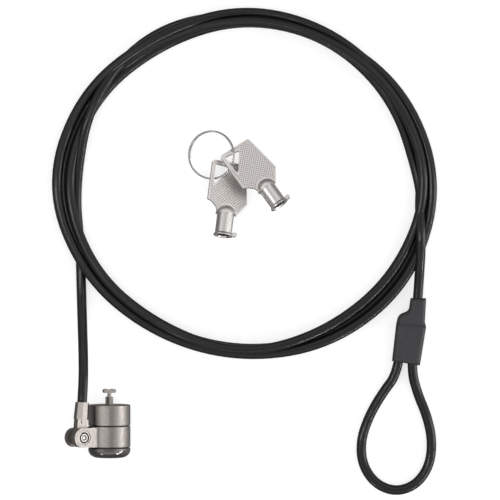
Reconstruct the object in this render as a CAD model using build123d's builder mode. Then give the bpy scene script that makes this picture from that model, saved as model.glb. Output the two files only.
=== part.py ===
from build123d import *
import math
import os

# Laptop cable lock, laid out flat: lock head, coiled security cable with its
# anchor loop, and two tubular keys on a split ring.  Millimetres.
# Origin: centre of the head's front face, on the lock's axis.  +Y runs out of the
# T-bar, +Z is up, and the table is at z = FLOOR.

# ---- driving dimensions ----
BODY_R = 9.5            # lock head, outer radius
FLOOR = -BODY_R         # the head lies on its side on the table
CABLE_D = 4.4
CABLE_R = CABLE_D / 2

HOUSING_L = 9.3         # front housing
COLLAR_L = 9.4          # swivel collar
CAP_L = 4.55            # domed key-end cap
GAP = 0.35              # gap each side of the collar, filled by a washer
WALL_FRONT = 1.8

BARREL_PRESS_R = 7.5    # inner barrel where it is pressed in the housing
BARREL_JOURNAL_R = 7.0  # where the collar turns on it
BARREL_SPIGOT_R = 6.6   # where the end cap is pressed on
CORE_R = 5.0            # bore of the inner barrel
RUN = 0.05              # radial running clearance

KEY_BARREL_R = 3.8
KEY_BORE_R = 3.05
KEY_LIP_R = 4.4
KEY_ROOT = 10.0         # from the mouth of the barrel to the bow
KEY_BOW_T = 1.5

PIN_COUNT = 8
PIN_R = 0.45
PIN_CIRCLE_R = 3.4
SHEAR_Y = -11.1         # plane between key pins and driver pins
TBAR_NECK_R = 0.92
TBAR_L = 5.8
TBAR_W = 2.4

LUG_TILT = 36.0         # the ears lean this far above the table, in degrees
PIVOT_R = 16.0          # from the lock's axis to the pivot pin
PIVOT_Y = -14.4
EAR_T = 2.5
EAR_GAP = 3.4
TERMINAL_LEAN = 5.0     # the cable end leans this far towards the head
TERMINAL_L = 15.76      # from the pivot to the mouth of the crimp

COLLAR_TOP = -HOUSING_L - GAP
COLLAR_BOTTOM = COLLAR_TOP - COLLAR_L
CAP_TOP = COLLAR_BOTTOM - GAP
CAP_BOTTOM = CAP_TOP - CAP_L

os.makedirs("parts", exist_ok=True)


def save(part, name):
    part.label = name
    export_step(part, f"parts/{name}.step")


# ---- directions of the pivot ----
tilt = math.radians(LUG_TILT)
lean = math.radians(TERMINAL_LEAN)
lug_dir = Vector(-math.cos(tilt), 0, math.sin(tilt))
pin_dir = Vector(math.sin(tilt), 0, math.cos(tilt))
pivot = lug_dir * PIVOT_R + Vector(0, PIVOT_Y, 0)
cable_dir = Vector(0, 1, 0) * math.cos(lean) - lug_dir * math.sin(lean)
ear_plane = Plane(origin=pivot, x_dir=lug_dir, z_dir=pin_dir)
tongue_plane = Plane(origin=pivot, x_dir=cable_dir, z_dir=pin_dir)
crimp_plane = Plane(origin=pivot, x_dir=pin_dir, z_dir=cable_dir)


def ring_sketch(r_in, r_out, y_low, y_high):
    """Half section of a ring about the lock's axis, for revolving."""
    with Locations(((r_in + r_out) / 2, (y_low + y_high) / 2)):
        Rectangle(r_out - r_in, y_high - y_low)


# ---- abutment pads, drawn first because the housing has pockets for them ----
PIN_LINE = 22.0         # the pair's line is turned this far from vertical
ABUT_IN = 1.1
ABUT_OUT = 2.75
ABUT_W = 2.0
ABUT_H = 3.5
ABUT_DEPTH = 1.2


with BuildPart() as pockets:
    for side in (0, 180):
        with BuildSketch(Plane.XZ.rotated((0, PIN_LINE + side, 0)).offset(ABUT_DEPTH)):
            with Locations((0, (ABUT_IN + ABUT_OUT) / 2)):
                RectangleRounded(ABUT_W, ABUT_OUT - ABUT_IN, 0.3)
        extrude(amount=-ABUT_H - ABUT_DEPTH)


# ---- front housing: cup with the slot face, thin rounded rim ----
with BuildPart() as front_housing:
    with BuildSketch(Plane.XY):
        ring_sketch(TBAR_NECK_R + RUN, BODY_R, -WALL_FRONT, 0)
        ring_sketch(BARREL_PRESS_R, BODY_R, -HOUSING_L, -WALL_FRONT)
    revolve(axis=Axis.Y)
    rims = front_housing.edges().filter_by(GeomType.CIRCLE).group_by(SortBy.RADIUS)[-1]
    fillet(rims.sort_by(Axis.Y)[-1], 0.6)
    chamfer(front_housing.edges().filter_by(GeomType.CIRCLE).group_by(SortBy.RADIUS)[-1]
            .sort_by(Axis.Y)[0], 0.2)
    add(pockets.part, mode=Mode.SUBTRACT)
save(front_housing.part, "front_housing")

# ---- abutment pins: two flats that fill the device's slot beside the T-bar ----
with BuildPart() as abutment_pins:
    add(pockets.part)
    tops = abutment_pins.faces().filter_by(Axis.Y).group_by(Axis.Y)[-1]
    fillet(tops.edges(), 0.28)
save(abutment_pins.part, "abutment_pins")

# ---- inner barrel: fixed tube on which the collar swivels ----
with BuildPart() as inner_barrel:
    with BuildSketch(Plane.XY):
        ring_sketch(CORE_R, BARREL_PRESS_R, -HOUSING_L - 0.05, -WALL_FRONT - 0.1)
        ring_sketch(CORE_R, BARREL_JOURNAL_R, CAP_TOP, -HOUSING_L)
        ring_sketch(CORE_R, BARREL_SPIGOT_R, CAP_TOP - 2.6, CAP_TOP + 0.05)
    revolve(axis=Axis.Y)
save(inner_barrel.part, "inner_barrel")

# ---- two thin washers that carry the collar ----
for name, y_mid in (("front_washer", COLLAR_TOP + GAP / 2), ("rear_washer", COLLAR_BOTTOM - GAP / 2)):
    with BuildPart() as washer:
        with BuildSketch(Plane.XY):
            ring_sketch(BARREL_JOURNAL_R + RUN, BODY_R - 0.7, y_mid - 0.11, y_mid + 0.11)
        revolve(axis=Axis.Y)
    save(washer.part, name)

# ---- swivel collar with its two ears, blended into it ----
EAR_END_R = 4.3
with BuildPart() as swivel_collar:
    with BuildSketch(Plane.XY):
        ring_sketch(BARREL_JOURNAL_R + RUN, BODY_R, COLLAR_BOTTOM, COLLAR_TOP)
    revolve(axis=Axis.Y)
    for low in (EAR_GAP / 2, -EAR_GAP / 2 - EAR_T):
        with BuildSketch(ear_plane.offset(low)):
            with BuildLine():
                root = BODY_R - 1.2 - PIVOT_R
                half = COLLAR_L / 2 - 0.3
                tip = Line((root, half), (0.9, EAR_END_R))
                end = ThreePointArc(tip @ 1, (1.0 + EAR_END_R, 0), (0.9, -EAR_END_R))
                back = Line(end @ 1, (root, -half))
                Line(back @ 1, tip @ 0)
            make_face()
        extrude(amount=EAR_T)
    reach = math.sqrt(BODY_R ** 2 - (EAR_GAP / 2 + EAR_T) ** 2)
    for side in (1, -1):
        root_at = lug_dir * reach + pin_dir * (side * (EAR_GAP / 2 + EAR_T)) + Vector(0, PIVOT_Y, 0)
        root_edge = swivel_collar.edges().sort_by_distance(root_at)[0]
        fillet(root_edge, 2.6)
    outer = swivel_collar.edges().filter_by(GeomType.CIRCLE).group_by(SortBy.RADIUS)[-1]
    chamfer(outer, 0.2)
    with BuildSketch(ear_plane.offset(-EAR_GAP)):
        Circle(1.7 + RUN)
    extrude(amount=30, both=True, mode=Mode.SUBTRACT)
    with BuildSketch(ear_plane.offset(EAR_GAP / 2 + EAR_T - 0.9)):
        Circle(3.15)
    extrude(amount=2, mode=Mode.SUBTRACT)
    with BuildSketch(ear_plane.offset(-EAR_GAP / 2 - EAR_T + 0.7)):
        Circle(2.75)
    extrude(amount=-2, mode=Mode.SUBTRACT)
save(swivel_collar.part, "swivel_collar")

# ---- pivot pin: rivet with a ringed head and a peened tail ----
with BuildPart() as pivot_pin:
    with BuildSketch(ear_plane.offset(-EAR_GAP / 2 - EAR_T + 0.1)):
        Circle(1.7)
    extrude(amount=EAR_GAP + 2 * EAR_T - 0.6)
    with BuildSketch(ear_plane.offset(EAR_GAP / 2 + EAR_T - 0.87)):
        Circle(3.05)
    extrude(amount=0.6)
    with BuildSketch(ear_plane.offset(EAR_GAP / 2 + EAR_T - 0.45)):
        Circle(2.5)
        Circle(1.85, mode=Mode.SUBTRACT)
    extrude(amount=0.4, mode=Mode.SUBTRACT)
    with BuildSketch(ear_plane.offset(EAR_GAP / 2 + EAR_T - 0.6)):
        Circle(1.1)
    extrude(amount=0.6, mode=Mode.SUBTRACT)
    with BuildSketch(ear_plane.offset(-EAR_GAP / 2 - EAR_T + 0.05)):
        Circle(2.65)
    extrude(amount=0.6)
save(pivot_pin.part, "pivot_pin")

# ---- domed key-end cap with the keyway mouth ----
KEYWAY_R = KEY_LIP_R + 0.15
with BuildPart() as end_cap:
    with BuildSketch(Plane.XY):
        with BuildLine():
            rim = Line((BARREL_SPIGOT_R, CAP_TOP), (BODY_R - 0.25, CAP_TOP))
            side = Line(rim @ 1, (BODY_R, CAP_TOP - 0.3))
            band = Line(side @ 1, (BODY_R, CAP_TOP - 0.9))
            dome = EllipticalCenterArc((5.2, CAP_TOP - 0.9), BODY_R - 5.2, CAP_L - 0.9, start_angle=270, arc_size=90)
            face = Line(dome @ 0, (KEYWAY_R, CAP_BOTTOM))
            mouth = Line(face @ 1, (KEYWAY_R, CAP_TOP - 2.7))
            seat = Line(mouth @ 1, (BARREL_SPIGOT_R, CAP_TOP - 2.7))
            Line(seat @ 1, rim @ 0)
        make_face()
    revolve(axis=Axis.Y)
    with BuildSketch(Plane.XZ.offset(-CAP_TOP)):
        with Locations((KEYWAY_R + 0.9, 0)):
            Rectangle(2.6, 2.3)
    extrude(amount=CAP_L + 1, mode=Mode.SUBTRACT)
save(end_cap.part, "end_cap")

# ---- rotor: turns with the key, annular keyway round a centre post ----
ROTOR_END = CAP_TOP - 2.5
GROOVE_Y = -12.7
POST_R = KEY_BORE_R - 0.2
with BuildPart() as rotor:
    with BuildSketch(Plane.XY):
        ring_sketch(0, CORE_R - RUN, GROOVE_Y, SHEAR_Y - 0.03)
        ring_sketch(KEY_BARREL_R + 0.15, CORE_R - RUN, ROTOR_END, GROOVE_Y)
    revolve(axis=Axis.Y)
    with BuildSketch(Plane.XZ.offset(-SHEAR_Y)):
        with PolarLocations(PIN_CIRCLE_R, PIN_COUNT, start_angle=22.5):
            Circle(PIN_R + RUN)
        Circle(1.2)
    extrude(amount=GROOVE_Y * -1 + SHEAR_Y + 0.05, mode=Mode.SUBTRACT)
save(rotor.part, "rotor")

# ---- keyway post: centre of the annular keyway, pressed on the spindle ----
with BuildPart() as keyway_post:
    with BuildSketch(Plane.XY):
        ring_sketch(0, POST_R, CAP_BOTTOM + 0.8, GROOVE_Y)
    revolve(axis=Axis.Y)
    with BuildSketch(Plane.XZ.offset(-GROOVE_Y)):
        Circle(1.2)
    extrude(amount=3, mode=Mode.SUBTRACT)
    chamfer(keyway_post.faces().sort_by(Axis.Y)[0].edges(), 0.4)
save(keyway_post.part, "keyway_post")

# ---- T-bar spindle: pressed in the rotor, carries the cross bar ----
NECK_TOP = 5.2
BAR_TOP = 7.0
with BuildPart() as tbar_spindle:
    with BuildSketch(Plane.XY):
        ring_sketch(0, 1.2, GROOVE_Y - 2.95, SHEAR_Y)
        ring_sketch(0, 1.7, SHEAR_Y, -WALL_FRONT - 0.15)
        ring_sketch(0, TBAR_NECK_R, -WALL_FRONT - 0.2, NECK_TOP + 0.3)
    revolve(axis=Axis.Y)
    bar_plane = Plane(origin=(0, 0, 0), x_dir=(math.cos(math.radians(PIN_LINE)), 0,
                                               -math.sin(math.radians(PIN_LINE))),
                      z_dir=(math.sin(math.radians(PIN_LINE)), 0, math.cos(math.radians(PIN_LINE))))
    with BuildSketch(bar_plane.offset(-TBAR_W / 2)):
        with Locations((0, (NECK_TOP + BAR_TOP) / 2)):
            SlotOverall(TBAR_L, BAR_TOP - NECK_TOP)
        with Locations((0, BAR_TOP + 1.1)):
            Circle(1.45, mode=Mode.SUBTRACT)
    extrude(amount=TBAR_W)
save(tbar_spindle.part, "tbar_spindle")

# ---- fixed bushing that holds the driver pins and their springs ----
BUSHING_TOP = -3.2
DRIVER_TOP = -8.6
with BuildPart() as pin_bushing:
    with BuildSketch(Plane.XY):
        ring_sketch(1.7 + RUN, CORE_R, SHEAR_Y + 0.03, BUSHING_TOP)
    revolve(axis=Axis.Y)
    with BuildSketch(Plane.XZ.offset(-SHEAR_Y - 0.03)):
        with PolarLocations(PIN_CIRCLE_R, PIN_COUNT, start_angle=22.5):
            Circle(PIN_R + RUN)
    extrude(amount=SHEAR_Y + 4.2, mode=Mode.SUBTRACT)
save(pin_bushing.part, "pin_bushing")

# ---- tumblers: key pins, driver pins and their springs, eight of each ----
TUMBLERS = (
    ("key_pins", SHEAR_Y - 2.3, SHEAR_Y - 0.04, PIN_R, 0),
    ("driver_pins", SHEAR_Y + 0.04, DRIVER_TOP, PIN_R, 0),
    ("pin_springs", DRIVER_TOP + 0.02, -4.25, PIN_R - 0.06, 0.26),
)
for name, y_low, y_high, radius, bore in TUMBLERS:
    with BuildPart() as tumbler:
        with BuildSketch(Plane.XZ.offset(-y_low)):
            with PolarLocations(PIN_CIRCLE_R, PIN_COUNT, start_angle=22.5):
                Circle(radius)
                if bore:
                    Circle(bore, mode=Mode.SUBTRACT)
        extrude(amount=y_low - y_high)
    save(tumbler.part, name)

# ---- cable terminal: flat tongue between the ears and an eight-sided crimp ----
CRIMP_START = 8.2
with BuildPart() as cable_terminal:
    with BuildSketch(tongue_plane.offset(-EAR_GAP / 2 + 0.1)):
        Circle(3.9)
        with Locations((5.0, 0)):
            Rectangle(10.0, 5.2)
    extrude(amount=EAR_GAP - 0.2)
    with BuildSketch(crimp_plane.offset(CRIMP_START)):
        RegularPolygon(3.1, 8, major_radius=False, rotation=22.5)
    with BuildSketch(crimp_plane.offset(TERMINAL_L)):
        RegularPolygon(2.85, 8, major_radius=False, rotation=22.5)
    loft()
    with BuildSketch(tongue_plane.offset(EAR_GAP / 2 - 0.1)):
        with Locations((6.9, 0)):
            Circle(0.75)
    extrude(amount=0.35)
    with BuildSketch(crimp_plane.offset(TERMINAL_L)):
        Circle(CABLE_R)
    extrude(amount=CRIMP_START + 0.6 - TERMINAL_L, mode=Mode.SUBTRACT)
    with BuildSketch(tongue_plane.offset(-EAR_GAP)):
        Circle(1.7 + RUN)
    extrude(amount=2 * EAR_GAP, mode=Mode.SUBTRACT)
save(cable_terminal.part, "cable_terminal")


# ---- tubes: straight runs joined by tangent arcs ----
def route_radii(points):
    """Largest arc that each corner's two runs allow."""
    radii = []
    for before, corner, after in zip(points, points[1:], points[2:]):
        leg_in = Vector(*corner) - Vector(*before)
        leg_out = Vector(*after) - Vector(*corner)
        half_turn = math.radians(leg_in.get_angle(leg_out)) / 2
        radii.append(0.45 * min(leg_in.length, leg_out.length) / math.tan(half_turn))
    return radii


def make_tube(name, points, radius):
    radii = route_radii(points)
    with BuildPart() as tube:
        with BuildLine() as path:
            FilletPolyline(*points, radius=radii)
        with BuildSketch(Plane(origin=path.line @ 0, z_dir=path.line % 0)):
            Circle(radius)
        sweep()
    length = sum(edge.length for edge in path.edges())
    ideal = math.pi * radius ** 2 * length
    print(f"{name}: length {length:.1f}, volume ratio {tube.part.volume / ideal:.4f}, "
          f"smallest radius {min(radii):.1f}, radii {[round(r) for r in radii]}")
    save(tube.part, name)
    return length


TABLE_Z = FLOOR + CABLE_R
socket = pivot + cable_dir * (CRIMP_START + 0.6)
leaving = pivot + cable_dir * 23.5
LEAD = [
    (socket.X, socket.Y, socket.Z),
    (leaving.X, leaving.Y, leaving.Z),
    (-11.5, 22.0, 4.3),
    (-12.2, 34.0, -2.6),
    (-12.7, 45.0, -6.6),
    (-13.2, 55.0, TABLE_Z),
    (-14.0, 63.0, TABLE_Z),
]
make_tube("cable_lead", LEAD, CABLE_R)

# ---- coil: three and a half loose turns, as one closed ring ----
# Inner and outer edge every 30 degrees, clockwise from the side nearest the lead.
COIL_X = 60.4
COIL_Y = 98.7
COIL_INNER = (71.6, 72.4, 68.9, 69.1, 70.7, 73.7, 75.2, 75.2, 71.6, 71.1, 69.8, 73.0)
COIL_OUTER = (87.4, 83.9, 81.5, 80.2, 80.1, 84.1, 87.8, 86.4, 81.9, 77.9, 77.8, 82.4)
COIL_H = 13.0


def coil_outline(radii):
    corners = []
    for step, r in enumerate(radii):
        angle = math.radians(180 - 30 * step)
        corners.append((COIL_X + r * math.cos(angle), COIL_Y + r * math.sin(angle)))
    return corners


with BuildPart() as cable_coil:
    with BuildSketch(Plane.XY.offset(FLOOR)):
        with BuildLine():
            Spline(*coil_outline(COIL_OUTER), periodic=True)
        make_face()
        with BuildLine():
            Spline(*coil_outline(COIL_INNER), periodic=True)
        make_face(mode=Mode.SUBTRACT)
    extrude(amount=COIL_H)
save(cable_coil.part, "cable_coil")

# ---- ferrule: twin-bore crimp that closes the anchor loop ----
COVER_T = 7.8
FERRULE_Z = FLOOR + COVER_T / 2
STRAND_GAP = 5.4
slant = Vector(-0.092, -0.996, 0)
across = Vector(0.996, -0.092, 0)
right_mouth = Vector(136.4, 18.4, FERRULE_Z)
ferrule_mid = right_mouth - across * (STRAND_GAP / 2)
FERRULE_L = 16.0
ferrule_plane = Plane(origin=ferrule_mid, x_dir=across, z_dir=slant * -1)
with BuildPart() as crimp_ferrule:
    with BuildSketch(ferrule_plane.offset(1.5)):
        SlotCenterToCenter(STRAND_GAP, CABLE_D + 1.2)
        with Locations((-STRAND_GAP / 2, 0), (STRAND_GAP / 2, 0)):
            Circle(CABLE_R, mode=Mode.SUBTRACT)
    extrude(amount=FERRULE_L)
save(crimp_ferrule.part, "crimp_ferrule")

# ---- cover: moulded boot over the ferrule, shouldered on one side ----
with BuildPart() as ferrule_cover:
    with BuildSketch(Plane.XY.offset(FLOOR)):
        with BuildLine():
            neck = Line((142.8, 47.7), (135.85, 47.8))
            drop = Line(neck @ 1, (135.25, 43.6))
            shoulder = Bezier(drop @ 1, (135.0, 41.9), (133.6, 41.6), (131.9, 40.9))
            flank = Bezier(shoulder @ 1, (130.0, 40.1), (129.7, 37.6), (129.3, 35.6))
            left = Line(flank @ 1, (127.45, 19.4))
            base = Line(left @ 1, (139.95, 17.4))
            right = Line(base @ 1, (142.75, 34.7))
            waist = Line(right @ 1, (142.2, 37.2))
            Line(waist @ 1, neck @ 0)
        make_face()
    extrude(amount=COVER_T)
    long_edges = ferrule_cover.faces().filter_by(Axis.Z).edges()
    fillet(long_edges, 1.9)
    with BuildSketch(ferrule_plane.offset(-3)):
        with Locations((-STRAND_GAP / 2, 0), (STRAND_GAP / 2, 0)):
            Circle(CABLE_R)
    extrude(amount=6, mode=Mode.SUBTRACT)
    with BuildSketch(ferrule_plane.offset(1.5)):
        SlotCenterToCenter(STRAND_GAP, CABLE_D + 1.2)
    extrude(amount=FERRULE_L, mode=Mode.SUBTRACT)
    with BuildSketch(ferrule_plane.offset(1)):
        with Locations((STRAND_GAP / 2, 0)):
            Circle(CABLE_R)
    extrude(amount=34, mode=Mode.SUBTRACT)
save(ferrule_cover.part, "ferrule_cover")


def on_strand(side, along, drop=0.0):
    """A point on one of the ferrule's two bores."""
    place = ferrule_mid + across * (side * STRAND_GAP / 2) - slant * along
    return (place.X, place.Y, place.Z - drop)


# ---- tail: from the coil down into the ferrule ----
TAIL = [
    (139.6, 73.0, -1.0),
    (140.0, 66.0, -2.6),
    (139.7, 58.0, FERRULE_Z + 0.4),
    on_strand(1, 27.0),
    on_strand(1, 14.0),
]
make_tube("cable_tail", TAIL, CABLE_R)

# ---- anchor loop: out of one bore, round, and back into the other ----
LOOP = [
    on_strand(1, 14.0),
    on_strand(1, -3.0),
    (139.0, 4.6, TABLE_Z),
    (143.2, -5.2, TABLE_Z),
    (145.7, -16.2, TABLE_Z),
    (144.6, -27.8, TABLE_Z),
    (138.6, -36.6, TABLE_Z),
    (129.2, -39.9, TABLE_Z),
    (119.8, -36.2, TABLE_Z),
    (113.9, -27.2, TABLE_Z),
    (113.4, -16.2, TABLE_Z),
    (117.2, -5.4, TABLE_Z),
    (122.9, 4.4, TABLE_Z),
    on_strand(-1, -4.0),
    on_strand(-1, 14.0),
]
make_tube("cable_loop", LOOP, CABLE_R)


# ---- keys: cast bow with a corner hole, and a tubular barrel ----
def key_plane(x, y, height, heading, rise_x, rise_y):
    """Origin at the barrel's mouth, local -Y out of the mouth, local Z off the bow.

    rise_x and rise_y are the slopes of the bow's plane along X and Y.
    """
    h = math.radians(heading)
    out = Vector(math.cos(h), math.sin(h), rise_x * math.cos(h) + rise_y * math.sin(h))
    normal = Vector(-rise_x, -rise_y, 1)
    return Plane(origin=(x, y, FLOOR + height), x_dir=normal.cross(out), z_dir=normal)


BOW = (
    (-9.2, 15.6), (-9.2, 33.0), (-8.2, 34.0), (6.4, 34.0),
    (9.1, 16.0), (4.8, 10.0), (-4.0, 10.2),
)
BOW_HOLE = ((-7.6, 32.3), (0.0, 31.6), (-7.3, 22.2))
KEYS = (
    ("key_a", key_plane(51.1, 75.9, 9.98, -97.1, -0.2743, -0.1984)),
    ("key_b", key_plane(76.6, 89.5, 13.22, -54.1, -0.0715, -0.3367)),
)

for name, place in KEYS:
    with BuildPart() as bow:
        with BuildSketch(place.offset(-KEY_BOW_T / 2)) as outline:
            with BuildLine():
                hip = Line(BOW[0], BOW[1])
                FilletPolyline(BOW[1], BOW[2], BOW[3], BOW[4], BOW[5], radius=0.8)
                Line(BOW[5], BOW[6])
                ThreePointArc(BOW[6], (-5.6, 13.5), BOW[0])
            make_face()
            with BuildLine():
                FilletPolyline(*BOW_HOLE, close=True, radius=0.7)
            make_face(mode=Mode.SUBTRACT)
        extrude(amount=KEY_BOW_T)
        for face_height, depth in ((KEY_BOW_T / 2, -0.3), (-KEY_BOW_T / 2, 0.3)):
            with BuildSketch(place.offset(face_height)):
                with BuildLine():
                    FilletPolyline((-8.5, 16.2), (-8.5, 32.7), (-7.9, 33.3), (5.8, 33.3),
                                   (8.4, 16.2), (4.6, 10.8), (-4.3, 11.3), (-5.9, 14.2),
                                   close=True, radius=0.4)
                make_face()
                with BuildLine():
                    FilletPolyline((-8.9, 33.6), (1.0, 32.3), (-7.9, 20.8), close=True, radius=0.5)
                make_face(mode=Mode.SUBTRACT)
                with Locations((0, 10.0)):
                    Circle(5.1, mode=Mode.SUBTRACT)
            extrude(amount=depth, mode=Mode.SUBTRACT)
        hub = Plane(origin=place.origin, x_dir=place.x_dir, z_dir=place.y_dir)
        with BuildSketch(Plane(origin=place.origin, x_dir=place.x_dir, z_dir=place.z_dir)):
            with BuildLine():
                base = Line((0, KEY_ROOT), (4.55, KEY_ROOT))
                crown = EllipticalCenterArc((0, KEY_ROOT), 4.55, 4.2, start_angle=0, arc_size=90)
                Line(crown @ 1, base @ 0)
            make_face()
        revolve(axis=Axis(place.origin, place.y_dir))
        with BuildSketch(hub.offset(KEY_ROOT - 0.5)):
            Circle(KEY_BARREL_R)
        extrude(amount=2.5, mode=Mode.SUBTRACT)
    save(bow.part, f"{name}_bow")

    with BuildPart() as barrel:
        with BuildSketch(Plane(origin=place.origin, x_dir=place.x_dir, z_dir=place.z_dir)):
            with BuildLine():
                Polyline((0, 8.2), (KEY_BORE_R, 8.2), (KEY_BORE_R, 0.6), (KEY_LIP_R - 0.8, 0),
                         (KEY_LIP_R, 0), (KEY_LIP_R, 0.4), (KEY_BARREL_R, 1.3),
                         (KEY_BARREL_R, KEY_ROOT + 2.0), (0, KEY_ROOT + 2.0), close=True)
            make_face()
        revolve(axis=Axis(place.origin, place.y_dir))
        with BuildSketch(place.offset(-0.9)):
            with Locations((5.1, 1.3)):
                RectangleRounded(2.2, 1.9, 0.5)
        extrude(amount=1.8)
        for turn, depth in ((60, 1.6), (105, 2.3), (150, 1.2), (285, 1.9)):
            cut = hub.rotated((0, 0, turn))
            with BuildSketch(cut):
                with Locations((KEY_LIP_R - 0.3, 0)):
                    Circle(0.6)
            extrude(amount=depth, mode=Mode.SUBTRACT)
    save(barrel.part, f"{name}_barrel")

# ---- split ring: one and a half turns of spring wire threaded through both bows ----
RING_R = 10.7
WIRE_R = 0.4
ring_plane = Plane(origin=(46.0, 112.4, FLOOR + 4.33), x_dir=(1, 0, 0.3646), z_dir=(-0.3646, 0, 1))
ring_points = []
for turn in range(18, 553, 22):
    layer = min(max((250 - turn) / 44, 0), 1)
    angle = math.radians(turn)
    ring_points.append(tuple(ring_plane.from_local_coords(
        (RING_R * math.cos(angle), RING_R * math.sin(angle), layer * 2.1 * WIRE_R))))
make_tube("key_ring", ring_points, WIRE_R)
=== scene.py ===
import math
import bpy
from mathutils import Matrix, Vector


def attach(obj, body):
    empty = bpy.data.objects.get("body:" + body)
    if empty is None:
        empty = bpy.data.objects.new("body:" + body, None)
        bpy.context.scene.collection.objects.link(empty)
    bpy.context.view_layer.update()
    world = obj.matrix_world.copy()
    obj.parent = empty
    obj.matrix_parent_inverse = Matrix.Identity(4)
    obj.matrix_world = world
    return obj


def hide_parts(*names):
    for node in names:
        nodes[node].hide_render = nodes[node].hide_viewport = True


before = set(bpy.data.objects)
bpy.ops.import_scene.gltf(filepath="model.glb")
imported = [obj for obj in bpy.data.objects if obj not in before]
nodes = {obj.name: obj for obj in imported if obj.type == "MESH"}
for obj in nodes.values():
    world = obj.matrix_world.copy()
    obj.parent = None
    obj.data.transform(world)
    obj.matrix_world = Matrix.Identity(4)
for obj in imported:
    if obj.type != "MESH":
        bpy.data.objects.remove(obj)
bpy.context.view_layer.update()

table_z = -0.0095

# ======================================================================
# Camera: straight above the set, far off, so that nothing leans.
camera_data = bpy.data.cameras.new("camera")
camera_data.sensor_width = 36
camera_data.lens = 256
camera_data.clip_end = 20
camera = bpy.data.objects.new("camera", camera_data)
camera.location = (0.0633, 0.0695, 1.6)
camera.rotation_euler = (0, 0, 0)
bpy.context.collection.objects.link(camera)
bpy.context.scene.camera = camera

# ======================================================================
# Cable: one length of vinyl-covered steel rope from the terminal, round the
# coil three and a half times, through the ferrule, round the anchor loop and
# back into the ferrule.  One smooth spline, lying on the table.
cable_d = 0.0044
cable_r = cable_d / 2
lie = table_z + cable_r

# The terminal swings on a pin across the collar's ears, which tilt up off the table.
pivot_arm = 0.0160
pivot_y = -0.0144
socket_depth = 0.0088
straight_run = 0.0235
tilt = math.radians(36.0)
lean = math.radians(5.0)
lug_dir = Vector((-math.cos(tilt), 0, math.sin(tilt)))
pivot = lug_dir * pivot_arm + Vector((0, pivot_y, 0))
cable_dir = Vector((0, 1, 0)) * math.cos(lean) - lug_dir * math.sin(lean)
socket = pivot + cable_dir * socket_depth

route = [
    tuple(socket),
    tuple(pivot + cable_dir * straight_run),
    (-0.0115, 0.0220, 0.0043),
    (-0.0122, 0.0340, -0.0026),
    (-0.0127, 0.0450, -0.0066),
    (-0.0130, 0.0550, lie),
    (-0.0134, 0.0700, lie),
]

# The bundle's inner and outer edge, in millimetres from the coil's centre, every 30
# degrees clockwise from the lead's side, and where each pass lies between them (0
# inner, 1 outer).
inner = (71.6, 72.4, 68.9, 69.1, 70.7, 73.7, 75.2, 75.2, 71.6, 71.1, 69.8, 73.8)
outer = (87.4, 83.9, 81.5, 80.2, 80.1, 84.1, 87.8, 86.4, 81.9, 77.9, 77.8, 82.4)
lanes = (
    (0.0, 0.3, 1.0, 0.7, 0.7, 1.0, 1.0, 1.0, 1.0, 1.0, 1.0, 1.0),
    (1.0, 1.0, 0.6, 1.0, 1.0, 0.6, 0.75, 0.5, 0.5, 0.0, 0.3, 0.5),
    (0.75, 0.6, 0.35, 0.3, 0.3, 0.4, 0.53, 0.0, 0.0, 0.5, 0.0, 0.0),
    (0.45, 0.2, 0.1, 0.3, 0.4, 0.0, 0.0),
)
# Which pass lies under which, bottom first, at each of the twelve places.
stacking = ("2130", "2130", "0321", "0312", "3012", "1032", "1032", "102", "102", "102", "102", "102")
centre = Vector((0.0604, 0.0987, 0))
place_step = 30
lead_radius = 0.0842
lead_place = 11
# The spline cuts inside its points, so they stand a little further out.
point_reach = 1.035


def lane_radius(turn, place):
    """Where one pass lies, in metres from the coil's centre."""
    width = outer[place] - inner[place] - cable_d * 1000
    return (inner[place] + cable_r * 1000 + lanes[turn][place] * width) / 1000


def lane_height(turn, place):
    """The pass rests on the table or on the passes that lie under it."""
    settled = [(lead_radius, lie)] if place == lead_place else []
    for name in stacking[place]:
        radius = lane_radius(int(name), place)
        height = lie
        for other_radius, other_height in settled:
            apart = abs(radius - other_radius)
            if apart < cable_d:
                height = max(height, other_height + math.sqrt(cable_d ** 2 - apart ** 2))
        if int(name) == turn:
            return height
        settled.append((radius, height))


for turn in range(len(lanes)):
    for place in range(len(lanes[turn])):
        angle = math.radians(180 - place_step * place)
        radius = lane_radius(turn, place) * point_reach
        height = lane_height(turn, place)
        route.append((centre.x + radius * math.cos(angle), centre.y + radius * math.sin(angle), height))

route += [
    (0.1397, 0.0900, -0.0030),
    (0.1403, 0.0780, -0.0008),
    (0.1402, 0.0680, -0.0014),
    (0.1398, 0.0590, -0.0048),
]
# The ferrule's two bores lie side by side, square to its slanting length.
slant = Vector((-0.092, -0.996, 0))
across = Vector((0.996, -0.092, 0))
bore_offset = 0.0027
ferrule_z = table_z + 0.0039
ferrule_mid = Vector((0.1364, 0.0184, ferrule_z)) - across * bore_offset
for up_ferrule in (0.027, 0.014, -0.003):
    route.append(tuple(ferrule_mid + across * bore_offset - slant * up_ferrule))
route += [
    (0.1390, 0.0046, lie),
    (0.1432, -0.0052, lie),
    (0.1457, -0.0162, lie),
    (0.1446, -0.0278, lie),
    (0.1386, -0.0366, lie),
    (0.1292, -0.0399, lie),
    (0.1198, -0.0362, lie),
    (0.1139, -0.0272, lie),
    (0.1134, -0.0162, lie),
    (0.1172, -0.0054, lie),
    (0.1229, 0.0044, lie),
]
for up_ferrule in (-0.004, 0.014):
    route.append(tuple(ferrule_mid - across * bore_offset - slant * up_ferrule))

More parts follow.
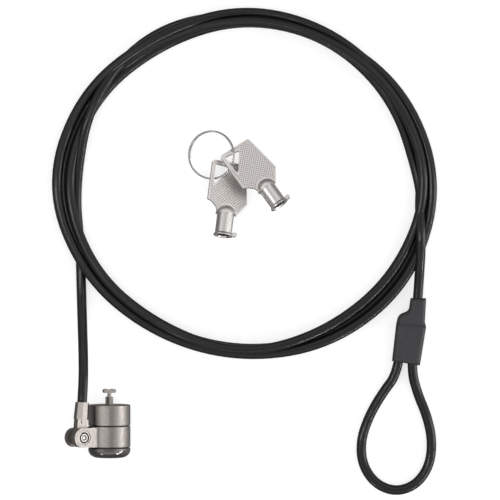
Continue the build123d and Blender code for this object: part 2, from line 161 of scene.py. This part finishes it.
cable_curve = bpy.data.curves.new("cable", "CURVE")
cable_curve.dimensions = "3D"
cable_curve.resolution_u = 10
spline = cable_curve.splines.new("NURBS")
spline.points.add(len(route) - 1)
for point, spot in zip(spline.points, route):
    point.co = (*spot, 1)
    point.radius = cable_r
spline.order_u = 3
spline.use_endpoint_u = True
cable_curve.bevel_depth = 1
cable_curve.bevel_resolution = 6
cable = bpy.data.objects.new("cable", cable_curve)
bpy.context.collection.objects.link(cable)
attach(cable, "cable")
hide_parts("cable_lead", "cable_coil", "cable_tail", "cable_loop")

# Sheath: glossy black vinyl.  The rope's six strands show through as a faint helix,
# which makes 85 turns along the cable, and the surface has slight scuffs.
strand_count = 6
lay_turns = 85
sheath = bpy.data.materials.new("black_vinyl")
sheath.use_nodes = True
tree = sheath.node_tree
shader = tree.nodes["Principled BSDF"]
shader.inputs["Base Color"].default_value = (0.009, 0.0085, 0.0088, 1)
shader.inputs["IOR"].default_value = 1.5
shader.inputs["Specular IOR Level"].default_value = 0.30
uv = tree.nodes.new("ShaderNodeTexCoord")
split = tree.nodes.new("ShaderNodeSeparateXYZ")
tree.links.new(uv.outputs["UV"], split.inputs["Vector"])
lay = tree.nodes.new("ShaderNodeMath")
lay.operation = "MULTIPLY"
lay.inputs[1].default_value = lay_turns * 2 * math.pi
tree.links.new(split.outputs["X"], lay.inputs[0])
around = tree.nodes.new("ShaderNodeMath")
around.operation = "MULTIPLY_ADD"
around.inputs[1].default_value = strand_count * 2 * math.pi
tree.links.new(split.outputs["Y"], around.inputs[0])
tree.links.new(lay.outputs[0], around.inputs[2])
strands = tree.nodes.new("ShaderNodeMath")
strands.operation = "SINE"
tree.links.new(around.outputs[0], strands.inputs[0])
scuffs = tree.nodes.new("ShaderNodeTexNoise")
scuffs.inputs["Scale"].default_value = 900
scuffs.inputs["Detail"].default_value = 3
tree.links.new(uv.outputs["Object"], scuffs.inputs["Vector"])
height = tree.nodes.new("ShaderNodeMath")
height.operation = "MULTIPLY_ADD"
height.inputs[1].default_value = 0.22
tree.links.new(strands.outputs[0], height.inputs[0])
tree.links.new(scuffs.outputs["Fac"], height.inputs[2])
bump = tree.nodes.new("ShaderNodeBump")
bump.inputs["Strength"].default_value = 0.35
bump.inputs["Distance"].default_value = 0.00012
tree.links.new(height.outputs[0], bump.inputs["Height"])
tree.links.new(bump.outputs["Normal"], shader.inputs["Normal"])
gloss = tree.nodes.new("ShaderNodeMapRange")
gloss.inputs["To Min"].default_value = 0.09
gloss.inputs["To Max"].default_value = 0.22
tree.links.new(scuffs.outputs["Fac"], gloss.inputs["Value"])
tree.links.new(gloss.outputs["Result"], shader.inputs["Roughness"])
cable_curve.materials.append(sheath)

# ======================================================================
# Lock head: cast zinc with a satin nickel plate.  Fine blasted grain, a little
# darker in the pits, on the CAD's own housing, collar, pads, T-bar and terminal.
satin = bpy.data.materials.new("satin_nickel")
satin.use_nodes = True
tree = satin.node_tree
shader = tree.nodes["Principled BSDF"]
shader.inputs["Metallic"].default_value = 1
place = tree.nodes.new("ShaderNodeTexCoord")
grain = tree.nodes.new("ShaderNodeTexNoise")
grain.inputs["Scale"].default_value = 2600
grain.inputs["Detail"].default_value = 4
tree.links.new(place.outputs["Object"], grain.inputs["Vector"])
clouds = tree.nodes.new("ShaderNodeTexNoise")
clouds.inputs["Scale"].default_value = 260
clouds.inputs["Detail"].default_value = 2
tree.links.new(place.outputs["Object"], clouds.inputs["Vector"])
tone = tree.nodes.new("ShaderNodeMix")
tone.data_type = "RGBA"
tone.inputs["A"].default_value = (0.13, 0.119, 0.111, 1)
tone.inputs["B"].default_value = (0.40, 0.368, 0.342, 1)
tree.links.new(grain.outputs["Fac"], tone.inputs["Factor"])
tree.links.new(tone.outputs["Result"], shader.inputs["Base Color"])
polish = tree.nodes.new("ShaderNodeMapRange")
polish.inputs["To Min"].default_value = 0.24
polish.inputs["To Max"].default_value = 0.42
tree.links.new(clouds.outputs["Fac"], polish.inputs["Value"])
tree.links.new(polish.outputs["Result"], shader.inputs["Roughness"])
bump = tree.nodes.new("ShaderNodeBump")
bump.inputs["Strength"].default_value = 0.5
bump.inputs["Distance"].default_value = 0.00004
tree.links.new(grain.outputs["Fac"], bump.inputs["Height"])
tree.links.new(bump.outputs["Normal"], shader.inputs["Normal"])
for name in ("front_housing", "swivel_collar", "abutment_pins", "tbar_spindle", "cable_terminal"):
    nodes[name].material_slots[0].material = satin

# Domed end cap: polished black nickel, with faint turning lines round the lock's axis.
black_nickel = bpy.data.materials.new("black_nickel")
black_nickel.use_nodes = True
tree = black_nickel.node_tree
shader = tree.nodes["Principled BSDF"]
shader.inputs["Metallic"].default_value = 1
shader.inputs["Base Color"].default_value = (0.15, 0.142, 0.137, 1)
place = tree.nodes.new("ShaderNodeTexCoord")
lines = tree.nodes.new("ShaderNodeTexWave")
lines.wave_type = "RINGS"
lines.rings_direction = "Y"
lines.inputs["Scale"].default_value = 900
lines.inputs["Distortion"].default_value = 0.6
tree.links.new(place.outputs["Object"], lines.inputs["Vector"])
polish = tree.nodes.new("ShaderNodeMapRange")
polish.inputs["To Min"].default_value = 0.10
polish.inputs["To Max"].default_value = 0.19
tree.links.new(lines.outputs["Fac"], polish.inputs["Value"])
tree.links.new(polish.outputs["Result"], shader.inputs["Roughness"])
bump = tree.nodes.new("ShaderNodeBump")
bump.inputs["Strength"].default_value = 0.08
bump.inputs["Distance"].default_value = 0.00003
tree.links.new(lines.outputs["Fac"], bump.inputs["Height"])
tree.links.new(bump.outputs["Normal"], shader.inputs["Normal"])
nodes["end_cap"].material_slots[0].material = black_nickel

# Turned steel inside the head and on the ferrule: fine tool marks.
turned = bpy.data.materials.new("turned_steel")
turned.use_nodes = True
tree = turned.node_tree
shader = tree.nodes["Principled BSDF"]
shader.inputs["Metallic"].default_value = 1
shader.inputs["Base Color"].default_value = (0.31, 0.29, 0.272, 1)
place = tree.nodes.new("ShaderNodeTexCoord")
marks = tree.nodes.new("ShaderNodeTexNoise")
marks.inputs["Scale"].default_value = 1800
marks.inputs["Detail"].default_value = 3
tree.links.new(place.outputs["Object"], marks.inputs["Vector"])
polish = tree.nodes.new("ShaderNodeMapRange")
polish.inputs["To Min"].default_value = 0.22
polish.inputs["To Max"].default_value = 0.40
tree.links.new(marks.outputs["Fac"], polish.inputs["Value"])
tree.links.new(polish.outputs["Result"], shader.inputs["Roughness"])
bump = tree.nodes.new("ShaderNodeBump")
bump.inputs["Strength"].default_value = 0.3
bump.inputs["Distance"].default_value = 0.00003
tree.links.new(marks.outputs["Fac"], bump.inputs["Height"])
tree.links.new(bump.outputs["Normal"], shader.inputs["Normal"])
for name in ("inner_barrel", "rotor", "keyway_post", "driver_pins", "crimp_ferrule", "pin_springs"):
    nodes[name].material_slots[0].material = turned

# Pivot rivet: the same steel, with painted shade in its turned rings and dimple, laid on as dark bands by
# distance from the pin's axis.
rivet_reach = 0.0034
# Base colour by distance from the pin's axis; the near-black stops are painted shade in the turned grooves.
ring_tones = (
    (0.17, 0.40), (0.24, 0.02), (0.33, 0.03), (0.38, 0.36), (0.50, 0.34),
    (0.55, 0.02), (0.74, 0.02), (0.78, 0.42), (0.86, 0.30), (0.90, 0.02),
)
rivet = turned.copy()
rivet.name = "rivet_steel"
tree = rivet.node_tree
shader = tree.nodes["Principled BSDF"]
place = tree.nodes.new("ShaderNodeTexCoord")
from_pin = tree.nodes.new("ShaderNodeVectorMath")
from_pin.operation = "SUBTRACT"
from_pin.inputs[1].default_value = pivot
tree.links.new(place.outputs["Object"], from_pin.inputs[0])
off_axis = tree.nodes.new("ShaderNodeVectorMath")
off_axis.operation = "CROSS_PRODUCT"
off_axis.inputs[1].default_value = (math.sin(tilt), 0, math.cos(tilt))
tree.links.new(from_pin.outputs["Vector"], off_axis.inputs[0])
distance = tree.nodes.new("ShaderNodeVectorMath")
distance.operation = "LENGTH"
tree.links.new(off_axis.outputs["Vector"], distance.inputs[0])
rings = tree.nodes.new("ShaderNodeMapRange")
rings.inputs["From Max"].default_value = rivet_reach
tree.links.new(distance.outputs["Value"], rings.inputs["Value"])
# Painted shade: the ramp colours the rivet's grooves near black and the rings between them lighter.
painted_groove_shade = tree.nodes.new("ShaderNodeValToRGB")
painted_groove_shade.color_ramp.elements[0].position = 0.0
painted_groove_shade.color_ramp.elements[0].color = (0.48, 0.45, 0.42, 1)
painted_groove_shade.color_ramp.elements[1].position = 1.0
painted_groove_shade.color_ramp.elements[1].color = (0.03, 0.028, 0.026, 1)
for position, level in ring_tones:
    stop = painted_groove_shade.color_ramp.elements.new(position)
    stop.color = (level, level * 0.94, level * 0.89, 1)
tree.links.new(rings.outputs["Result"], painted_groove_shade.inputs["Fac"])
tree.links.new(painted_groove_shade.outputs["Color"], shader.inputs["Base Color"])
nodes["pivot_pin"].material_slots[0].material = rivet

# Brass tumblers and bushing, lightly tarnished.
tumbler_brass = bpy.data.materials.new("tumbler_brass")
tumbler_brass.use_nodes = True
tree = tumbler_brass.node_tree
shader = tree.nodes["Principled BSDF"]
shader.inputs["Metallic"].default_value = 1
shader.inputs["Roughness"].default_value = 0.3
place = tree.nodes.new("ShaderNodeTexCoord")
tarnish = tree.nodes.new("ShaderNodeTexNoise")
tarnish.inputs["Scale"].default_value = 700
tree.links.new(place.outputs["Object"], tarnish.inputs["Vector"])
tone = tree.nodes.new("ShaderNodeMix")
tone.data_type = "RGBA"
tone.inputs["A"].default_value = (0.42, 0.29, 0.12, 1)
tone.inputs["B"].default_value = (0.78, 0.60, 0.30, 1)
tree.links.new(tarnish.outputs["Fac"], tone.inputs["Factor"])
tree.links.new(tone.outputs["Result"], shader.inputs["Base Color"])
for name in ("key_pins", "pin_bushing"):
    nodes[name].material_slots[0].material = tumbler_brass

# Acetal washers either side of the collar: black, with a fine moulded texture.
acetal = bpy.data.materials.new("acetal")
acetal.use_nodes = True
tree = acetal.node_tree
shader = tree.nodes["Principled BSDF"]
shader.inputs["Base Color"].default_value = (0.02, 0.02, 0.02, 1)
shader.inputs["Roughness"].default_value = 0.5
place = tree.nodes.new("ShaderNodeTexCoord")
texture = tree.nodes.new("ShaderNodeTexNoise")
texture.inputs["Scale"].default_value = 1500
tree.links.new(place.outputs["Object"], texture.inputs["Vector"])
bump = tree.nodes.new("ShaderNodeBump")
bump.inputs["Strength"].default_value = 0.3
bump.inputs["Distance"].default_value = 0.00003
tree.links.new(texture.outputs["Fac"], bump.inputs["Height"])
tree.links.new(bump.outputs["Normal"], shader.inputs["Normal"])
for name in ("front_washer", "rear_washer"):
    nodes[name].material_slots[0].material = acetal

# ======================================================================
# Ferrule cover: soft black plastic boot with a dull, slightly mottled skin.  The end
# of the ferrule inside shows as a crease across it.
crease_start = 0.0160
crease_end = 0.0180
boot = bpy.data.materials.new("boot_plastic")
boot.use_nodes = True
tree = boot.node_tree
shader = tree.nodes["Principled BSDF"]
place = tree.nodes.new("ShaderNodeTexCoord")
mottle = tree.nodes.new("ShaderNodeTexNoise")
mottle.inputs["Scale"].default_value = 420
mottle.inputs["Detail"].default_value = 5
tree.links.new(place.outputs["Object"], mottle.inputs["Vector"])
tone = tree.nodes.new("ShaderNodeMix")
tone.data_type = "RGBA"
tone.inputs["A"].default_value = (0.010, 0.0105, 0.012, 1)
tone.inputs["B"].default_value = (0.026, 0.027, 0.030, 1)
tree.links.new(mottle.outputs["Fac"], tone.inputs["Factor"])
tree.links.new(tone.outputs["Result"], shader.inputs["Base Color"])
dull = tree.nodes.new("ShaderNodeMapRange")
dull.inputs["To Min"].default_value = 0.45
dull.inputs["To Max"].default_value = 0.65
tree.links.new(mottle.outputs["Fac"], dull.inputs["Value"])
tree.links.new(dull.outputs["Result"], shader.inputs["Roughness"])
bump = tree.nodes.new("ShaderNodeBump")
bump.inputs["Strength"].default_value = 0.35
bump.inputs["Distance"].default_value = 0.00015
tree.links.new(mottle.outputs["Fac"], bump.inputs["Height"])
upward = tree.nodes.new("ShaderNodeVectorMath")
upward.operation = "DOT_PRODUCT"
upward.inputs[1].default_value = -slant
tree.links.new(place.outputs["Object"], upward.inputs[0])
crease = tree.nodes.new("ShaderNodeMapRange")
crease.interpolation_type = "SMOOTHSTEP"
crease.inputs["From Min"].default_value = -slant.dot(ferrule_mid) + crease_start
crease.inputs["From Max"].default_value = -slant.dot(ferrule_mid) + crease_end
tree.links.new(upward.outputs["Value"], crease.inputs["Value"])
step = tree.nodes.new("ShaderNodeBump")
step.inputs["Strength"].default_value = 1.0
step.inputs["Distance"].default_value = 0.0007
step.invert = True
tree.links.new(crease.outputs["Result"], step.inputs["Height"])
tree.links.new(bump.outputs["Normal"], step.inputs["Normal"])
tree.links.new(step.outputs["Normal"], shader.inputs["Normal"])
nodes["ferrule_cover"].material_slots[0].material = boot

# ======================================================================
# Keys.  Cast bows, nickel-plated, with a field of small dots sunk inside a plain rim; the dots are coloured
# darker as painted shade in their hollows.
# The dots follow each key's own direction, so each bow has its own material.
for name, tip, heading, rise_x, rise_y in (
    ("key_a", (0.0511, 0.0759, 0.00998), -97.1, -0.2743, -0.1984),
    ("key_b", (0.0766, 0.0895, 0.01322), -54.1, -0.0715, -0.3367),
):
    turn = math.radians(heading)
    climb = rise_x * math.cos(turn) + rise_y * math.sin(turn)
    out = Vector((math.cos(turn), math.sin(turn), climb)).normalized()
    normal = Vector((-rise_x, -rise_y, 1)).normalized()
    side = normal.cross(out).normalized()
    origin = Vector((tip[0], tip[1], table_z + tip[2]))
    bow_metal = bpy.data.materials.new(name + "_dotted_nickel")
    bow_metal.use_nodes = True
    tree = bow_metal.node_tree
    shader = tree.nodes["Principled BSDF"]
    shader.inputs["Metallic"].default_value = 1
    place = tree.nodes.new("ShaderNodeTexCoord")
    local = []
    for axis in (side, -out, normal):
        shift = tree.nodes.new("ShaderNodeVectorMath")
        shift.operation = "SUBTRACT"
        shift.inputs[1].default_value = origin
        tree.links.new(place.outputs["Object"], shift.inputs[0])
        project = tree.nodes.new("ShaderNodeVectorMath")
        project.operation = "DOT_PRODUCT"
        project.inputs[1].default_value = axis
        tree.links.new(shift.outputs["Vector"], project.inputs[0])
        local.append(project.outputs["Value"])
    flat = tree.nodes.new("ShaderNodeCombineXYZ")
    tree.links.new(local[0], flat.inputs["X"])
    tree.links.new(local[1], flat.inputs["Y"])
    turned_grid = tree.nodes.new("ShaderNodeMapping")
    turned_grid.inputs["Rotation"].default_value = (0, 0, math.radians(45))
    tree.links.new(flat.outputs["Vector"], turned_grid.inputs["Vector"])
    dots = tree.nodes.new("ShaderNodeTexVoronoi")
    dots.inputs["Scale"].default_value = 1050
    dots.inputs["Randomness"].default_value = 0.06
    tree.links.new(turned_grid.outputs["Vector"], dots.inputs["Vector"])
    # Dot mask: it sinks each dot in the bump and darkens it as painted shade.
    sunk_dot_and_shade = tree.nodes.new("ShaderNodeMapRange")
    sunk_dot_and_shade.interpolation_type = "SMOOTHSTEP"
    sunk_dot_and_shade.inputs["From Min"].default_value = 0.16
    sunk_dot_and_shade.inputs["From Max"].default_value = 0.40
    tree.links.new(dots.outputs["Distance"], sunk_dot_and_shade.inputs["Value"])
    level = tree.nodes.new("ShaderNodeMath")
    level.operation = "ABSOLUTE"
    tree.links.new(local[2], level.inputs[0])
    field = tree.nodes.new("ShaderNodeMapRange")
    field.inputs["From Min"].default_value = 0.00056
    field.inputs["From Max"].default_value = 0.00066
    tree.links.new(level.outputs[0], field.inputs["Value"])
    shape = tree.nodes.new("ShaderNodeMath")
    shape.operation = "MAXIMUM"
    tree.links.new(sunk_dot_and_shade.outputs["Result"], shape.inputs[0])
    tree.links.new(field.outputs["Result"], shape.inputs[1])
    # Painted shade: the sunk dots take the dark colour, and the plain nickel between them and on the rim
    # takes the light one.
    tone = tree.nodes.new("ShaderNodeMix")
    tone.data_type = "RGBA"
    tone.inputs["A"].default_value = (0.27, 0.252, 0.243, 1)
    tone.inputs["B"].default_value = (0.68, 0.648, 0.628, 1)
    tree.links.new(shape.outputs[0], tone.inputs["Factor"])
    tree.links.new(tone.outputs["Result"], shader.inputs["Base Color"])
    shader.inputs["Roughness"].default_value = 0.36
    bump = tree.nodes.new("ShaderNodeBump")
    bump.inputs["Strength"].default_value = 0.5
    bump.inputs["Distance"].default_value = 0.00015
    tree.links.new(shape.outputs[0], bump.inputs["Height"])
    tree.links.new(bump.outputs["Normal"], shader.inputs["Normal"])
    nodes[name + "_bow"].material_slots[0].material = bow_metal

# Key barrels: bright chrome with light wear.
chrome = bpy.data.materials.new("worn_chrome")
chrome.use_nodes = True
tree = chrome.node_tree
shader = tree.nodes["Principled BSDF"]
shader.inputs["Metallic"].default_value = 1
shader.inputs["Base Color"].default_value = (0.62, 0.595, 0.575, 1)
place = tree.nodes.new("ShaderNodeTexCoord")
wear = tree.nodes.new("ShaderNodeTexNoise")
wear.inputs["Scale"].default_value = 900
wear.inputs["Detail"].default_value = 4
tree.links.new(place.outputs["Object"], wear.inputs["Vector"])
polish = tree.nodes.new("ShaderNodeMapRange")
polish.inputs["To Min"].default_value = 0.16
polish.inputs["To Max"].default_value = 0.34
tree.links.new(wear.outputs["Fac"], polish.inputs["Value"])
tree.links.new(polish.outputs["Result"], shader.inputs["Roughness"])
bump = tree.nodes.new("ShaderNodeBump")
bump.inputs["Strength"].default_value = 0.04
bump.inputs["Distance"].default_value = 0.00003
tree.links.new(wear.outputs["Fac"], bump.inputs["Height"])
tree.links.new(bump.outputs["Normal"], shader.inputs["Normal"])
for name in ("key_a_barrel", "key_b_barrel"):
    nodes[name].material_slots[0].material = chrome

# Split ring: the same finish on hardened spring steel, darker.
spring_steel = chrome.copy()
spring_steel.name = "spring_steel"
spring_steel.node_tree.nodes["Principled BSDF"].inputs["Base Color"].default_value = (0.33, 0.315, 0.305, 1)

# The ring itself: one and a half turns of round wire, the upper turn sloping down
# on to the lower one at the left.
ring_lean = 0.3646
ring_radius = 0.0107
wire_radius = 0.0004
layer_gap = 0.00084
ring_start = 18
ring_step = 6
step_down_start = 206
step_down_turn = 44
ring_centre = Vector((0.0460, 0.1124, table_z + 0.00433))
ring_normal = Vector((-ring_lean, 0, 1)).normalized()
ring_right = Vector((1, 0, ring_lean)).normalized()
ring_up = ring_normal.cross(ring_right)
ring_curve = bpy.data.curves.new("split_ring", "CURVE")
ring_curve.dimensions = "3D"
ring_curve.resolution_u = 4
coil = ring_curve.splines.new("NURBS")
coil.points.add(88)
for number, point in enumerate(coil.points):
    turn = ring_start + number * ring_step
    layer = min(max((step_down_start + step_down_turn - turn) / step_down_turn, 0), 1)
    layer = layer * layer * (3 - 2 * layer)
    angle = math.radians(turn)
    spot = ring_centre + ring_normal * (layer * layer_gap)
    spot += (ring_right * math.cos(angle) + ring_up * math.sin(angle)) * ring_radius
    point.co = (*spot, 1)
    point.radius = wire_radius
coil.order_u = 3
coil.use_endpoint_u = True
ring_curve.bevel_depth = 1
ring_curve.bevel_resolution = 5
ring_curve.use_fill_caps = True
ring = bpy.data.objects.new("split_ring_wire", ring_curve)
bpy.context.collection.objects.link(ring)
ring_curve.materials.append(spring_steel)
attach(ring, "split_ring")
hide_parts("key_ring")

# ======================================================================
# Floor: a softly lit white card, hidden from every glossy reflection.
floor_reach = 3
floor_corners = [
    (-floor_reach, -floor_reach, table_z),
    (floor_reach, -floor_reach, table_z),
    (floor_reach, floor_reach, table_z),
    (-floor_reach, floor_reach, table_z),
]
floor_mesh = bpy.data.meshes.new("floor")
floor_mesh.from_pydata(floor_corners, [], [(0, 1, 2, 3)])
floor = bpy.data.objects.new("floor", floor_mesh)
bpy.context.collection.objects.link(floor)
floor_material = bpy.data.materials.new("floor")
floor_material.use_nodes = True
floor_shader = floor_material.node_tree.nodes["Principled BSDF"]
floor_shader.inputs["Base Color"].default_value = (0.50, 0.50, 0.50, 1)
floor_shader.inputs["Roughness"].default_value = 0.9
floor_shader.inputs["Emission Color"].default_value = (1, 1, 1, 1)
floor_shader.inputs["Emission Strength"].default_value = 0.62
floor_mesh.materials.append(floor_material)
floor.visible_glossy = False

# Lights: a soft tent, dimmer straight overhead and dark below, with a glow low on the
# right.  A thin strip on the left, a low panel on the right, two small lamps in front
# and a thin strip low at the front right, which draws the cable's bright edges.
world = bpy.data.worlds.new("studio")
bpy.context.scene.world = world
world.use_nodes = True
tree = world.node_tree
sky = tree.nodes.new("ShaderNodeTexCoord")
rise = tree.nodes.new("ShaderNodeSeparateXYZ")
tree.links.new(sky.outputs["Generated"], rise.inputs["Vector"])
dim = tree.nodes.new("ShaderNodeValToRGB")
dim.color_ramp.elements[0].position = 0.0
dim.color_ramp.elements[0].color = (0.26, 0.26, 0.26, 1)
dim.color_ramp.elements[1].position = 1.0
dim.color_ramp.elements[1].color = (0.62, 0.62, 0.62, 1)
for position, level in ((0.30, 0.48), (0.50, 1.05), (0.80, 1.00), (0.93, 0.62)):
    stop = dim.color_ramp.elements.new(position)
    stop.color = (level, level, level, 1)
tree.links.new(rise.outputs["Z"], dim.inputs["Fac"])
glow = tree.nodes.new("ShaderNodeMapRange")
glow.inputs["From Min"].default_value = 0.45
glow.inputs["From Max"].default_value = 0.95
glow.inputs["To Max"].default_value = 0.5
tree.links.new(rise.outputs["X"], glow.inputs["Value"])
total = tree.nodes.new("ShaderNodeMix")
total.data_type = "RGBA"
total.blend_type = "ADD"
total.inputs["Factor"].default_value = 1
tree.links.new(dim.outputs["Color"], total.inputs["A"])
tree.links.new(glow.outputs["Result"], total.inputs["B"])
tree.links.new(total.outputs["Result"], tree.nodes["Background"].inputs["Color"])
bpy.context.scene.view_settings.view_transform = "Standard"
aim_point = Vector((0.06, 0.07, 0))
for name, spot, wide, deep, power in (
    ("left_strip", (-0.42, 0.08, 0.97), 0.04, 0.9, 1.6),
    ("right_panel", (1.00, 0.05, 0.16), 0.25, 0.9, 2.0),
    ("front_left", (-0.42, -0.75, 0.20), 0.12, 0.12, 0.35),
    ("front_right", (0.52, -0.75, 0.20), 0.12, 0.12, 0.35),
    ("edge_strip", (0.80, -0.50, 0.26), 0.9, 0.02, 3.5),
):
    light_data = bpy.data.lights.new(name, "AREA")
    light_data.shape = "RECTANGLE"
    light_data.size = wide
    light_data.size_y = deep
    light_data.energy = power
    light = bpy.data.objects.new(name, light_data)
    light.location = spot
    aim = aim_point - Vector(spot)
    light.rotation_euler = aim.to_track_quat("-Z", "Y").to_euler()
    bpy.context.collection.objects.link(light)
